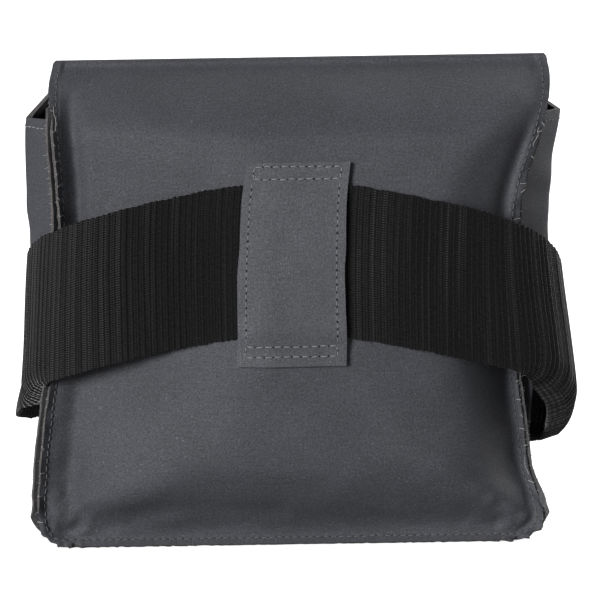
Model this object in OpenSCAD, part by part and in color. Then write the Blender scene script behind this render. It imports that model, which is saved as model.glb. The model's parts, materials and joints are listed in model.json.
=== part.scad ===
// Saddle bag: a sewn pouch with side gussets and a fold-over flap. A wide elastic band runs
// through a loop on its back and round its front, over the flap, and holds it shut.
// Millimetres, +Z up, the back faces -Y. The origin is on the underside, mid bottom gusset.

/* [Pouch] */
// Height of the top fold above the underside
bag_h = 163; // [150:1:175]
// Half the width of a panel near the top corners
top_half = 82.5; // [78:0.5:86]
// Half the width of a panel at its waist, where the swell draws the side seams in
waist_half = 76.5; // [74:0.5:79]
// Half the width of a panel near the bottom corners
foot_half = 85.5; // [82:0.5:88]
// Height of the waist
waist_z = 95; // [85:1:105]
// Radius of a panel's bottom corners
corner_r = 13; // [10:1:16]
// Distance of each side seam from the middle of the bag's depth
seam_depth = 21; // [18:0.5:24]
// How far a filled panel swells beyond its seams
swell = 14; // [8:0.5:16]
// Height of the mouth, where the gussets and the front panel end
mouth_z = 144; // [138:1:146]
// Width of the seam allowance that stands out along the edges
allowance = 3; // [2:0.5:4]
// Half width over the gussets' middle folds at the mouth
ridge_top = 90; // [87:0.5:91]
// Half width over the gussets' middle folds at the waist
ridge_waist = 86.5; // [83:0.5:89]
// Thickness of the coated cloth
cloth_t = 1.2; // [0.8:0.1:1.4]

/* [Flap] */
// Height of the flap's lower edge above the underside
flap_end_z = 38; // [30:1:50]
// Radius of the flap's lower corners
flap_corner_r = 14; // [8:1:20]
// Room between the flap and the front panel
flap_gap = 0.9; // [0.6:0.1:1.5]

/* [Belt loop] */
// Width of the loop patch
loop_w = 35; // [30:1:38]
// Height of the loop patch
loop_h = 67; // [65:1:69]
// Height of the patch's middle
loop_z = 97; // [95:0.5:99]
// Thickness of each of its two layers
layer_t = 0.8; // [0.5:0.1:1]

/* [Elastic band] */
// Width of the webbing
band_w = 50; // [44:1:50]
// Thickness of the webbing
band_t = 1.5; // [1:0.1:1.7]
// Half the width of the ring that the band makes
ring_half_w = 95; // [94:0.5:98]
// How much lower the band lies at its front than in the loop
band_drop = 43; // [30:1:46]

/* [Thread] */
// Width of a row of stitches
thread_w = 0.7; // [0.5:0.1:1]
// How far a row of stitches stands proud
thread_h = 0.3; // [0.2:0.1:0.4]

/* [Hidden] */

cloth_grey = [0.27, 0.28, 0.30];
inner_grey = [0.20, 0.21, 0.23];
loop_grey = [0.36, 0.37, 0.39];
elastic_black = [0.08, 0.08, 0.09];
thread_grey = [0.62, 0.62, 0.62];

// Heights and depths of the top fold. The flap turns about the line y = 0, z = bag_h.
fold_depth = cloth_t + 0.2;
fold_gap = 0.5;
panel_cols = 12;
panel_rows = 10;
fold_rows = 7;
corner_turns = 2;

// Gusset strip: its edges lie just inside the panels
strip_half = seam_depth - cloth_t - 0.2;
foot_sag = allowance;
foot_flat = 0.62;
seam_corner_r = corner_r - allowance;

// Clear room kept between things that lie on each other
lie_gap = 0.35;
// Distance of the band's middle from mid depth at the front, where it lies on the flap
ring_half_d = seam_depth + swell + flap_gap + cloth_t + 2 * lie_gap + band_t / 2;
// Where the band changes from the part held in the loop to the part that wraps round
band_split_x = 75;
// Share of the band's drop that happens along the back
back_share = 0.45;
// How the band falls along the back from the loop's sides: 1 is a straight line
back_fall_power = 1.2;
// How square the ring is: 2 is an ellipse
ring_power = 3.5;

function mix(a, b, t) = a + (b - a) * t;
function ease(t) = let (c = min(max(t, 0), 1)) c * c * (3 - 2 * c);
function unit(v) = v / norm(v);

// Half width of a panel at height z, without its rounded bottom corners
function open_edge_x(z) =
    z > waist_z
        ? mix(waist_half, top_half, ease((z - waist_z) / (mouth_z - waist_z)))
        : mix(waist_half, foot_half, ease((waist_z - z) / (waist_z - corner_r)));

// What a round corner of radius r takes off the width, d above the edge
function corner_cut(d, r) = d < r ? r - sqrt(max(r * r - (r - d) * (r - d), 0)) : 0;

function edge_x(z) = open_edge_x(z) - corner_cut(z, corner_r);

// Distance of the seam from mid depth at height z, and of the face at x
function seam_y(z) =
    mix(seam_depth, fold_depth, ease((z - mouth_z) / (bag_h - mouth_z)));
function swell_at(z) =
    swell * pow(max(sin(180 * (z - allowance) / (bag_h - allowance)), 0), 0.8);
function face_y(x, z) =
    let (u = min(abs(x) / (open_edge_x(z) - allowance - corner_cut(z - allowance, seam_corner_r)), 1))
    seam_y(z) + (z > allowance ? swell_at(z) * (1 - pow(u, 2.5)) : 0);

// Two triangles between four corners of a grid cell
function cell(a, b, c, d) = [[a, b, c], [a, c, d]];

// A closed skin between two grids of points: outer's rows run up and its columns rightward,
// seen from outside
module skin(outer, inner) {
    rows = len(outer);
    cols = len(outer[0]);
    n = rows * cols;
    points = [for (grid = [outer, inner], row = grid, p = row) p];
    faces = [
        for (i = [0:rows - 2], j = [0:cols - 2])
            let (a = i * cols + j, b = a + cols)
            each concat(cell(a, b, b + 1, a + 1), cell(n + a, n + a + 1, n + b + 1, n + b)),
        for (i = [0:rows - 2])
            let (a = i * cols, b = a + cols, e = a + cols - 1)
            each concat(cell(a, n + a, n + b, b), cell(e, e + cols, n + e + cols, n + e)),
        for (j = [0:cols - 2])
            let (t = (rows - 1) * cols + j)
            each concat(cell(j, j + 1, n + j + 1, n + j), cell(t, n + t, n + t + 1, t + 1))
    ];
    polyhedron(points, faces, convexity = 10);
}

// A closed bar through a list of rings that have the same number of points
module bar(rings) {
    k = len(rings[0]);
    last = (len(rings) - 1) * k;
    sides = [
        for (i = [0:len(rings) - 2], j = [0:k - 1])
            let (a = i * k + j, b = i * k + (j + 1) % k)
            each cell(a, b, b + k, a + k)
    ];
    caps = [[for (j = [k - 1:-1:0]) j], [for (j = [0:k - 1]) last + j]];
    polyhedron([for (ring = rings, p = ring) p], concat(caps, sides), convexity = 10);
}

// A flat strand of width w and height h that follows a path and stands up along out
module strand(path, out, w = thread_w, h = thread_h) {
    last = len(path) - 1;
    bar([
        for (i = [0:last])
            let (
                along = unit(path[min(i + 1, last)] - path[max(i - 1, 0)]),
                side = unit(cross(along, out)) * w / 2,
                rise = out * h
            )
            [path[i] + side, path[i] - side, path[i] - side + rise, path[i] + side + rise]
    ]);
}

// Heights of a panel's rows from its bottom: close together round the corners of radius r,
// with one at the seam, then even up to the mouth
function row_heights(bottom, r) =
    let (seam_turn = acos(1 - allowance / r))
    concat(
        [for (i = [0:corner_turns - 1]) bottom + r * (1 - cos(seam_turn * i / corner_turns))],
        [for (i = [0:corner_turns]) bottom + r * (1 - cos(mix(seam_turn, 90, i / (corner_turns + 1))))],
        [for (i = [0:panel_rows]) mix(bottom + r, mouth_z, i / panel_rows)]
    );
function fold_heights(top) = [for (i = [1:fold_rows]) mix(mouth_z, top, i / fold_rows)];

// Heights at which a row of stitches bends, the same as the panel under it
function thread_heights(bottom, top) = [
    for (z = concat([for (i = [0:panel_rows]) mix(bottom, mouth_z, i / panel_rows)], fold_heights(bag_h)))
        if (z <= top) z
];

// Columns of one row: the raw edges, the seams and even steps between the seams
function row_xs(edge, seam) = concat(
    [-edge],
    [for (j = [0:panel_cols]) mix(-seam, seam, j / panel_cols)],
    [edge]
);

// One layer of a panel, at distance off outside its face
function panel_grid(heights, off) = [
    for (z = heights)
        let (edge = edge_x(z), seam = edge - allowance)
        [for (x = row_xs(edge, seam)) [x, -face_y(x, z) - off, z]]
];

module back_panel() {
    heights = concat(row_heights(0, corner_r), fold_heights(bag_h - fold_gap));
    color(cloth_grey)
        skin(panel_grid(heights, 0), panel_grid(heights, -cloth_t));
}

module front_panel() {
    heights = row_heights(0, corner_r);
    color(inner_grey)
        mirror([0, 1, 0])
            skin(panel_grid(heights, 0), panel_grid(heights, -cloth_t));
}

// The flap's half width: the back panel's, with round corners at its lower edge
function flap_edge_x(z) = open_edge_x(z) - corner_cut(z - flap_end_z, flap_corner_r);

function flap_heights() =
    concat(row_heights(flap_end_z, flap_corner_r), fold_heights(bag_h));

// The flap's rows close on the fold line as they reach it
function flap_off(z) = flap_gap * ease((bag_h - z) / 6);

function flap_grid(off) = [
    for (z = flap_heights())
        let (edge = flap_edge_x(z), seam = edge - allowance)
        [for (x = row_xs(edge, seam)) [x, -face_y(x, z) - flap_off(z) - off, z]]
];

module flap() {
    color(cloth_grey)
        mirror([0, 1, 0])
            skin(flap_grid(cloth_t), flap_grid(0));
}

// Gusset strip cross-sections, at t from -1 to 1 across the strip: flat under the bag and
// folded to a ridge at its sides
function foot_profile(t) = foot_sag * min(1, (1 - abs(t)) / (1 - foot_flat));
function ridge_profile(t, out) = out * (1 - pow(abs(t), 1.35));
function ridge_x(z) =
    mix(ridge_waist - 3 * ease((waist_z - z) / waist_z), ridge_top,
        ease((z - waist_z) / (mouth_z - waist_z)));
strip_ts = [-1, -0.81, -0.62, -0.3, -0.1, 0.1, 0.3, 0.62, 0.81, 1];

// Places along the right seam line, as [x, z, outward direction in degrees]
seam_foot_x = open_edge_x(corner_r) - corner_r;
ridge_grow_h = 60;
strip_places = concat(
    [
        for (i = [0:5])
            let (a = -90 + 90 * i / 6)
            [seam_foot_x + seam_corner_r * cos(a), corner_r + seam_corner_r * sin(a), a]
    ],
    [
        for (i = [0:14])
            let (z = mix(corner_r, mouth_z, i / 14))
            [open_edge_x(z) - allowance, z, 0]
    ]
);

// The point at t across the strip. The ridge grows out of the flat above the corner.
function strip_point(place, t, inward) =
    let (
        out = ridge_x(place[1]) - place[0],
        share = ease((place[1] - corner_r) / ridge_grow_h),
        rise = mix(foot_profile(t), ridge_profile(t, out), share) - inward,
        dx = cos(place[2]),
        dz = sin(place[2])
    )
    [place[0] + dx * rise, strip_half * t, place[1] + dz * rise];

module gusset_side() {
    color(cloth_grey)
        skin(
            [for (p = strip_places) [for (t = strip_ts) strip_point(p, t, 0)]],
            [for (p = strip_places) [for (t = strip_ts) strip_point(p, t, cloth_t)]]
        );
}

module gusset_left() {
    mirror([1, 0, 0]) gusset_side();
}

module gusset_right() {
    gusset_side();
}

// The strip under the bag: its middle is the flat that the bag stands on
module gusset_bottom() {
    flat = strip_half * foot_flat;
    color(cloth_grey)
        rotate([90, 0, 90])
            linear_extrude(2 * seam_foot_x - 0.2, center = true)
                polygon([
                    [-strip_half, foot_sag],
                    [-flat, 0],
                    [flat, 0],
                    [strip_half, foot_sag],
                    [strip_half, foot_sag + cloth_t],
                    [flat, cloth_t],
                    [-flat, cloth_t],
                    [-strip_half, foot_sag + cloth_t]
                ]);
}

// How far the loop's layers stand off the back panel, d from the patch's nearer end
sewn_off = 0.25;
sewn_h = 4;
rise_h = 3.5;
function loop_off(z) =
    let (d = loop_h / 2 - abs(z - loop_z))
    mix(sewn_off, band_t + 2 * lie_gap, ease((d - sewn_h) / rise_h));

loop_zs = [for (i = [0:24]) loop_z - loop_h / 2 + loop_h * i / 24];

function loop_grid(off) = [
    for (z = loop_zs)
        [for (j = [-3:3]) let (x = loop_w / 2 * j / 3) [x, -face_y(x, z) - loop_off(z) - off, z]]
];

module belt_loop_lining() {
    color(loop_grey)
        skin(loop_grid(layer_t), loop_grid(0));
}

module belt_loop_outer() {
    color(loop_grey)
        skin(loop_grid(2 * layer_t + 0.1), loop_grid(layer_t + 0.1));
}

// The band's middle line round the bag, for a turn a from the back (-90) over the right
// side (0) to the front (90)
function power(v, p) = sign(v) * pow(abs(v), p);
function ring_x(a) = ring_half_w * power(cos(a), 2 / ring_power);
function ring_y(a) = ring_half_d * power(sin(a), 2 / ring_power);
function back_fall(x) =
    pow(max(abs(x) - loop_w / 2, 0) / (ring_half_w - loop_w / 2), back_fall_power);
function ring_drop(a) =
    let (x = ring_x(a), y = ring_y(a))
    band_drop * back_share * (y < 0 ? back_fall(x) : 1)
        + band_drop * (1 - back_share) * ease((y + ring_half_d) / (1.6 * ring_half_d));
function ring_point(a) = [ring_x(a), ring_y(a), loop_z - ring_drop(a)];

// The webbing's four corners at a point, where it faces the direction a seen from above
function web_ring(point, a) =
    let (
        across = [0, 0, band_w / 2],
        face = [cos(a), sin(a), 0] * band_t / 2
    )
    [point + across + face, point + across - face, point - across - face, point - across + face];

// The way the ring faces: square to its line seen from above
function ring_face(a) =
    let (along = ring_point(a + 0.5) - ring_point(a - 0.5))
    atan2(-along[0], along[1]);

// Turns at which the band crosses from its back stretch to its wrapped stretch
split_a = acos(pow(band_split_x / ring_half_w, ring_power / 2));

// The back stretch follows the swollen back inside the loop and turns flat towards its ends
back_reach = band_split_x - 0.3;
function back_drop(x) = band_drop * back_share * back_fall(x);
function back_web_y(x, z) =
    mix(
        -face_y(x, z) - lie_gap - band_t / 2,
        ring_y(-acos(pow(abs(x) / ring_half_w, ring_power / 2))),
        ease((abs(x) - loop_w / 2) / (band_split_x - loop_w / 2))
    );
function back_web_grid(off) = [
    for (k = [-3:3])
        [
            for (i = [-15:15])
                let (
                    x = back_reach * i / 15,
                    z = loop_z - back_drop(x) + band_w * k / 6
                )
                [x, back_web_y(x, z) - off, z]
        ]
];

module elastic_band_back() {
    color(elastic_black)
        skin(back_web_grid(band_t / 2), back_web_grid(-band_t / 2));
}

module elastic_band_front() {
    steps = 56;
    start = -split_a + 1;
    color(elastic_black)
        bar([
            for (i = [0:steps])
                let (a = mix(start, 180 - start, i / steps))
                web_ring(ring_point(a), ring_face(a))
        ]);
}

// The line that lies inset from a raw edge with corners of radius r, up the right side from
// the middle of the corner's lower end
thread_off = 0.4;
thread_turns = 6;
function side_line(inset, r, bottom, top) =
    let (
        centre_z = bottom + r,
        centre_x = open_edge_x(centre_z) - r
    )
    concat(
        [
            for (i = [0:thread_turns - 1])
                let (a = -90 + 90 * i / thread_turns)
                [centre_x + (r - inset) * cos(a), centre_z + (r - inset) * sin(a)]
        ],
        [for (z = thread_heights(centre_z, top)) [open_edge_x(z) - inset, z]]
    );

// The same line down the left, along the bottom and up the right
function edge_line(inset, r, bottom, top) =
    let (
        right = side_line(inset, r, bottom, top),
        n = len(right) - 1,
        corner = right[0]
    )
    concat(
        [for (i = [n:-1:0]) [-right[i][0], right[i][1]]],
        [for (i = [1:11]) [mix(-corner[0], corner[0], i / 12), corner[1]]],
        right
    );

function on_back(line, off) = [for (p = line) [p[0], -face_y(p[0], p[1]) - off, p[1]]];

// Distance of the side and bottom seams from the raw edge
seam_inset = allowance - 0.6;

module back_seam_thread() {
    color(thread_grey)
        strand(on_back(edge_line(seam_inset, corner_r, 0, bag_h - 2), thread_off), [0, -1, 0]);
}

module front_seam_thread() {
    color(thread_grey)
        mirror([0, 1, 0])
            strand(on_back(edge_line(seam_inset, corner_r, 0, mouth_z), 0.1), [0, -1, 0]);
}

// Row of stitches round the flap's three free edges
flap_inset = 2.4;
flap_line = edge_line(flap_inset, flap_corner_r, flap_end_z, bag_h - 2);

module flap_edge_thread() {
    path = [
        for (p = flap_line)
            [p[0], -face_y(p[0], p[1]) - flap_off(p[1]) - cloth_t - thread_off, p[1]]
    ];
    color(thread_grey)
        mirror([0, 1, 0])
            strand(path, [0, -1, 0]);
}

// Stitch rows of the hems, this far below the mouth
hem_h = 2.8;

module front_hem_thread() {
    z = mouth_z - hem_h;
    seam = open_edge_x(z) - allowance - 2;
    line = [for (j = [0:24]) [mix(-seam, seam, j / 24), z]];
    color(thread_grey)
        mirror([0, 1, 0])
            strand(on_back(line, -cloth_t - thread_off - thread_h), [0, -1, 0]);
}

module gusset_hem_thread() {
    z = mouth_z - hem_h;
    place = [open_edge_x(z) - allowance, z, 0];
    path = [for (t = [-0.9:0.15:0.9]) strip_point(place, t, -0.6)];
    color(thread_grey)
        strand(path, [1, 0, 0]);
}

module gusset_left_hem_thread() {
    mirror([1, 0, 0]) gusset_hem_thread();
}

module gusset_right_hem_thread() {
    gusset_hem_thread();
}

// Stitch rows on the loop: a two-line box at each end and a row down each side
loop_inset = 2.8;
box_rows = [1.5, 5.2];
function on_loop(line) = [
    for (p = line)
        [p[0], -face_y(p[0], p[1]) - loop_off(p[1]) - 2 * layer_t - 0.5, p[1]]
];

module loop_cross_row(z) {
    half = loop_w / 2 - loop_inset + 1;
    strand(on_loop([for (j = [-4:4]) [half * j / 4, z]]), [0, -1, 0]);
}

module belt_loop_top_thread() {
    color(thread_grey)
        for (d = box_rows)
            loop_cross_row(loop_z + loop_h / 2 - d);
}

module belt_loop_bottom_thread() {
    color(thread_grey)
        for (d = box_rows)
            loop_cross_row(loop_z - loop_h / 2 + d);
}

module belt_loop_side_thread() {
    reach = loop_h / 2 - box_rows[1] - thread_w;
    color(thread_grey)
        for (side = [-1, 1])
            strand(
                on_loop([for (i = [-12:12]) [side * (loop_w / 2 - loop_inset), loop_z + reach * i / 12]]),
                [0, -1, 0]
            );
}

// The rows that join the band's two ends, hidden inside the loop
join_off = 0.08;
join_h = 0.12;
module band_join_thread() {
    reach = band_w / 2 - 3;
    color(thread_grey)
        for (x = [-5, 5])
            strand(
                [
                    for (i = [-6:6])
                        let (z = loop_z + reach * i / 6)
                        [x, back_web_y(x, z) - band_t / 2 - join_off, z]
                ],
                [0, -1, 0], thread_w, join_h
            );
}

back_panel();
flap();
front_panel();
gusset_left();
gusset_right();
gusset_bottom();
belt_loop_outer();
belt_loop_lining();
elastic_band_back();
elastic_band_front();
back_seam_thread();
front_seam_thread();
flap_edge_thread();
front_hem_thread();
gusset_left_hem_thread();
gusset_right_hem_thread();
belt_loop_top_thread();
belt_loop_bottom_thread();
belt_loop_side_thread();
band_join_thread();
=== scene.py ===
import json
import math

import bpy
import numpy as np
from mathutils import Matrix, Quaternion, Vector


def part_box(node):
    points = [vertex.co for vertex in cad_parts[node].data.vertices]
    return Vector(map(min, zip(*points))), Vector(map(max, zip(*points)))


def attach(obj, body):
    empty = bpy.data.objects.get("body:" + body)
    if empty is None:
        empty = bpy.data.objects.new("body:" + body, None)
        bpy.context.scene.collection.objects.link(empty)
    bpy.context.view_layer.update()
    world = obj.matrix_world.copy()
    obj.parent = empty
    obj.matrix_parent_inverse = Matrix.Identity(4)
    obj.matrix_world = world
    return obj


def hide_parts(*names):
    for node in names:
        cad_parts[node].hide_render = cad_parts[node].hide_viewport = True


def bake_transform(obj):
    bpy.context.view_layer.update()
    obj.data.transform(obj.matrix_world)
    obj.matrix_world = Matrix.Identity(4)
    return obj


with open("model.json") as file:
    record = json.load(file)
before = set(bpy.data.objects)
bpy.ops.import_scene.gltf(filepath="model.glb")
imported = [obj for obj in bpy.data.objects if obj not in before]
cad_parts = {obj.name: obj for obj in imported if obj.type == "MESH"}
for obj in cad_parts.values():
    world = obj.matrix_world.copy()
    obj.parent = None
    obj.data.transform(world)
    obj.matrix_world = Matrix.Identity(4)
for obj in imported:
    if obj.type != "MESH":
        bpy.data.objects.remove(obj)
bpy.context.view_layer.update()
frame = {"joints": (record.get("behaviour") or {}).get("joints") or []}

# Driving dimensions, in millimetres. The grids are worked out in millimetres too.
MM = 0.001


def cad(node):
    """Lowest and highest corner of a CAD node, in millimetres."""
    low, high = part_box(node)
    return np.array(low) / MM, np.array(high) / MM


flap_joint = next(j for j in frame["joints"] if j["name"] == "flap_fold")

BAG_H = flap_joint["pos_m"][2] / MM
MOUTH_Z = cad("front_panel")[1][2]
FOOT_HALF = cad("back_panel")[1][0]
FLAP_END_Z = cad("flap")[0][2]
LOOP_LOW, LOOP_HIGH = cad("belt_loop_outer")
BAND_LOW, BAND_HIGH = cad("elastic_band_front")

WAIST_HALF = 77.0
SHOULDER_HALF = 83.8
WAIST_Z = 95.0
SHOULDER_Z = 156.0
CORNER_R = 9.5
ALLOWANCE = 3.0
SEAM_DEPTH = 21.0
SWELL = 17.5
FRONT_SWELL = 12.5
BACK = 1
FRONT = 2
CLOTH_T = 1.0
FOLD_R = 2.2
FLAP_OFF = 2.2
FLAP_CORNER_R = 14.0
FOLD_Z = BAG_H - FOLD_R
SLOPE_Z = 138.0
SEAM_GAP = 0.15
LOWEST = 0.25
GROUND = 0.05

# The mouth's edge rises from this height on, by so much at the front seams.
RISE_FROM_Z = 112.0
RAISE_LEFT = 15.5
RAISE_RIGHT = 5.0

# How far from the seams the swell reaches its full height, and the flat shelf beside them.
HIP_LEFT = 94.0
HIP_LEFT_LOW = 56.0
HIP_RIGHT_TOP = 40.0
HIP_RIGHT_LOW = 30.0
HIP_FOOT = 34.0
HIP_TOP = 56.0
SHELF_LEFT = 10.0
SHELF_RIGHT = 1.5
SHELF_FOOT = 4.5

# How far the seam allowances turn out of the panels, in degrees.
FLARE_FOOT = 34
FLARE_CORNER = 44
FLARE_WAIST = 62
FLARE_TOP_LEFT = 6
FLARE_LOW_RIGHT = 14
FLARE_TOP_RIGHT = -24
FRONT_TURN = -0.35

# Soft ridges and hollows of the right half, mirrored on the left: start, end, height, width.
SIDE_CREASES = (
    ((84, 4), (34, 44), 0.8, 5),
    ((82, 20), (52, 50), -0.6, 5),
    ((83, 158), (50, 126), 0.6, 6),
)
DRAWN_SIDE = 4.2
DRAWN_BACK = 14.0

STITCH_INSET = 2.4
STITCH_PITCH = 2.6

LOOP_Z = (LOOP_LOW[2] + LOOP_HIGH[2]) / 2
LOOP_HALF_W = LOOP_HIGH[0]
LOOP_HALF_H = (LOOP_HIGH[2] - LOOP_LOW[2]) / 2
LAYER_T = 0.75

BAND_T = 1.25
BAND_HALF = 25.6
RING_HALF_W = 95.0
RING_HALF_D = BAND_HIGH[1] - BAND_T / 2
RING_POWER = 2.9
LEFT_SQUEEZE = 0.955
SIDE_DROP_LEFT = 15.5
SIDE_DROP_RIGHT = 17.5
FRONT_DROP = 41.0
FRONT_TILT = 6.0
LIE_GAP = 0.2
RIB_PITCH = 2.05
JOIN_SHARE = 5.0 / 480.0


# Small tools
def mix(a, b, t):
    return a + (b - a) * t


def ease(t):
    c = np.clip(t, 0.0, 1.0)
    return c * c * (3 - 2 * c)


def bell(t, width):
    return np.exp(-((t / width) ** 2))


def unit(v):
    return v / np.maximum(np.linalg.norm(v, axis=-1, keepdims=True), 1e-9)


def wander(points, seed, wavelength, octaves=3):
    """Smooth seeded noise, about -1 to 1, at points of any dimension."""
    rng = np.random.default_rng(seed)
    total = np.zeros(points.shape[:-1])
    for octave in range(octaves):
        for _ in range(7):
            way = unit(rng.normal(size=points.shape[-1]))
            turn = rng.uniform(0, 2 * math.pi)
            rate = rng.uniform(0.8, 1.25) * 2 * math.pi * 1.9**octave / wavelength
            total += np.sin(points @ way * rate + turn) * 0.55**octave
    return total / 4.2


def smooth_min(a, b, k):
    h = np.maximum(k - np.abs(a - b), 0) / k
    return np.minimum(a, b) - h * h * k / 4


# Shape of the pouch
def open_edge(z):
    """Half width of a panel at height z, without its round bottom corners."""
    upper = mix(WAIST_HALF, SHOULDER_HALF, ease((z - 104) / (SHOULDER_Z - 104)) ** 1.25)
    upper = upper - 0.8 * ease((z - SHOULDER_Z) / (BAG_H - SHOULDER_Z))
    lower = mix(WAIST_HALF, FOOT_HALF, ease((WAIST_Z - z) / (WAIST_Z - CORNER_R)))
    return np.where(z > WAIST_Z, upper, lower)


CORNER_X = float(open_edge(np.array(CORNER_R))) - CORNER_R


def corner_cut(d, r):
    """How much a round corner takes off the side, at distance d from the end."""
    return np.where(d < r, r - np.sqrt(np.maximum(r * r - (r - d) ** 2, 0)), 0)


def seam_y(z):
    """Distance of the seams from mid depth, which close towards the top fold."""
    t = np.clip((z - SLOPE_Z) / (FOLD_Z - SLOPE_Z), 0, 1)
    return SEAM_DEPTH - (SEAM_DEPTH - FOLD_R) * t**1.45


def slope(t, hollow=0.75, steep=1.9):
    """A side of the swell: hollow beside the seam, then steep, then level."""
    c = np.clip(t, 0, 1)
    return (1 - (1 - c) ** steep) * (1 - hollow * np.exp(-c / 0.045))


def late(d, shelf):
    """A distance that stays near 0 over a flat shelf, then grows as usual."""
    return d - shelf * np.tanh(d / shelf)


def dome(x, z):
    """Share of the swell, 0 at the seams and 1 in the middle, with soft hips to the corners."""
    seam = open_edge(z) - ALLOWANCE - corner_cut(z - ALLOWANCE, CORNER_R - ALLOWANCE)
    right = mix(HIP_RIGHT_LOW, HIP_RIGHT_TOP, ease((z - 80) / 35))
    rightness = ease((x + 30) / 60)
    inside = np.maximum(seam - np.abs(x), 0)
    shelf = mix(SHELF_LEFT, SHELF_RIGHT, rightness)
    left = mix(HIP_LEFT_LOW, HIP_LEFT, ease((z - 15) / 45))
    side = late(inside, shelf) / (mix(left, right, rightness) - shelf)
    side = slope(side, mix(0.75, 0.1, rightness), mix(1.5, 1.9, rightness))
    foot = slope(late(np.maximum(z - ALLOWANCE, 0), SHELF_FOOT) / HIP_FOOT, 0.0)
    top = slope((FOLD_Z - z) / HIP_TOP)
    hips = smooth_min(side, foot, 0.22)
    return smooth_min(hips, top, 0.28)


def beyond_seam(x, z):
    """Signed distance from the seam line: above 0 on the allowance, below 0 on the face."""
    side = np.abs(x) - (open_edge(z) - ALLOWANCE)
    straight = np.maximum(side, ALLOWANCE - z)
    radial = np.hypot(np.abs(x) - CORNER_X, CORNER_R - z) - (CORNER_R - ALLOWANCE)
    return np.where((np.abs(x) > CORNER_X) & (z < CORNER_R), radial, straight)


def outward(x, z):
    """The way straight out of the seam, in plan."""
    reach = np.hypot(np.abs(x) - CORNER_X, CORNER_R - z) + 1e-6
    corner = (np.abs(x) > CORNER_X) & (z < CORNER_R)
    side = np.abs(x) - (open_edge(z) - ALLOWANCE) > ALLOWANCE - z
    dx = np.where(corner, (np.abs(x) - CORNER_X) / reach, side) * np.sign(x)
    dz = np.where(corner, (z - CORNER_R) / reach, ~side * -1.0)
    return dx, dz


def flare(x, z):
    """How far the seam allowances stand out from the panel's plane, as an angle."""
    low = mix(FLARE_FOOT, FLARE_CORNER, ease((z - 4) / 16))
    waist = mix(low, FLARE_WAIST, ease((z - 55) / 25))
    left = mix(waist, FLARE_TOP_LEFT, ease((z - 142) / 14))
    low = mix(FLARE_FOOT, FLARE_LOW_RIGHT, ease((z - 8) / 14))
    right = mix(low, FLARE_TOP_RIGHT, ease((z - 100) / 16))
    return np.radians(np.where(x < 0, left, right) * ease((FOLD_Z - z) / 10))


def crease(x, z, start, end, height, width):
    """A soft ridge from start to end, highest in the middle of its length."""
    ax, az = start
    dx, dz = end[0] - ax, end[1] - az
    length = math.hypot(dx, dz)
    along = ((x - ax) * dx + (z - az) * dz) / length**2
    off = ((x - ax) * dz - (z - az) * dx) / length
    fade = np.sin(math.pi * np.clip(along, 0, 1)) ** 0.7
    return height * fade * bell(off, width)


def drape(x, z, seed):
    """What the cloth adds to the plain swollen shape."""
    at = np.stack([x, z], axis=-1)
    inside = np.maximum(-beyond_seam(x, z), 0)
    calm = ease(inside / 12) * ease((FOLD_Z - z) / 14)
    total = 0.50 * wander(at, seed, 62, 2) * calm
    total += 0.15 * wander(at, seed + 1, 21, 2) * calm
    for sign in (-1, 1):
        for start, end, height, width in SIDE_CREASES:
            total += crease(x, z, (sign * start[0], start[1]), (sign * end[0], end[1]), height, width)
        corner = bell(np.hypot(x - sign * 76, z - 10), 13)
        total += 1.0 * wander(at, seed + 3, 11, 2) * corner * ease(inside / 2.5)
    high = ease((z - 45) / 45)
    on_left = mix(2.4, 3.6, high) * bell(inside - mix(7.5, 4.2, high), mix(4.4, 3.0, high))
    on_right = 1.8 * ease((z - 60) / 35) * ease((150 - z) / 22) * bell(inside - 3.4, 2.8)
    on_left = on_left * ease((156 - z) / 12) * ease((z - 8) / 14)
    total -= np.where(x < 0, on_left, on_right) * ease(inside / 1.5)
    total += crease(x, z, (-80, 5), (-36, 15), -1.3, 4.5)
    along = np.stack([z + 0.35 * np.abs(x), np.sign(x) * 40 + 0 * z], axis=-1)
    total += 0.40 * wander(along, seed + 2, 15, 2) * bell(inside - 5, 6) * ease(inside / 2)
    return total


def face(x, z, seed=BACK):
    """Distance of a panel's outside from mid depth, inside its seams."""
    within = beyond_seam(x, z) < 0
    swell = SWELL if seed == BACK else FRONT_SWELL
    return seam_y(z) + (swell * dome(x, z) + drape(x, z, seed)) * within


def settle(points):
    """Leans the bag, and draws its right seam in and back above the bottom corner."""
    moved = lean(points)
    x, y, z = (points[..., k] for k in range(3))
    drawn = DRAWN_SIDE * ease((z - 8) / 16) * ease((112 - z) / 60)
    moved[..., 0] -= drawn * np.clip(x / FOOT_HALF, 0, 1.15) ** 3
    moved[..., 1] += drawn_back(x, z) * ease(-y / 17)
    return moved


def drawn_back(x, z):
    """How far the lower right of the back panel is drawn in, past a line to the corner."""
    start = 18 + 0.8 * np.clip(60 - z, 0, 50)
    share = np.clip((x - start) / (76 - start), 0, 1) ** 1.7
    return DRAWN_BACK * share * ease((z - 6) / 24) * ease((112 - z) / 44)


def lean(points):
    """Shifts the points sideways by height, as the bag on its soft foot leans to the right."""
    moved = points.copy()
    z = points[..., 2]
    moved[..., 0] += -1.2 + 2.7 * ease((z - 90) / 75) + 2.6 * ease((z - 112) / 44)
    return moved


# Meshes: a sheet of cloth is a grid of points, rows by columns
MIDDLE = np.array([0.0, 0.0, 80.0])


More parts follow.
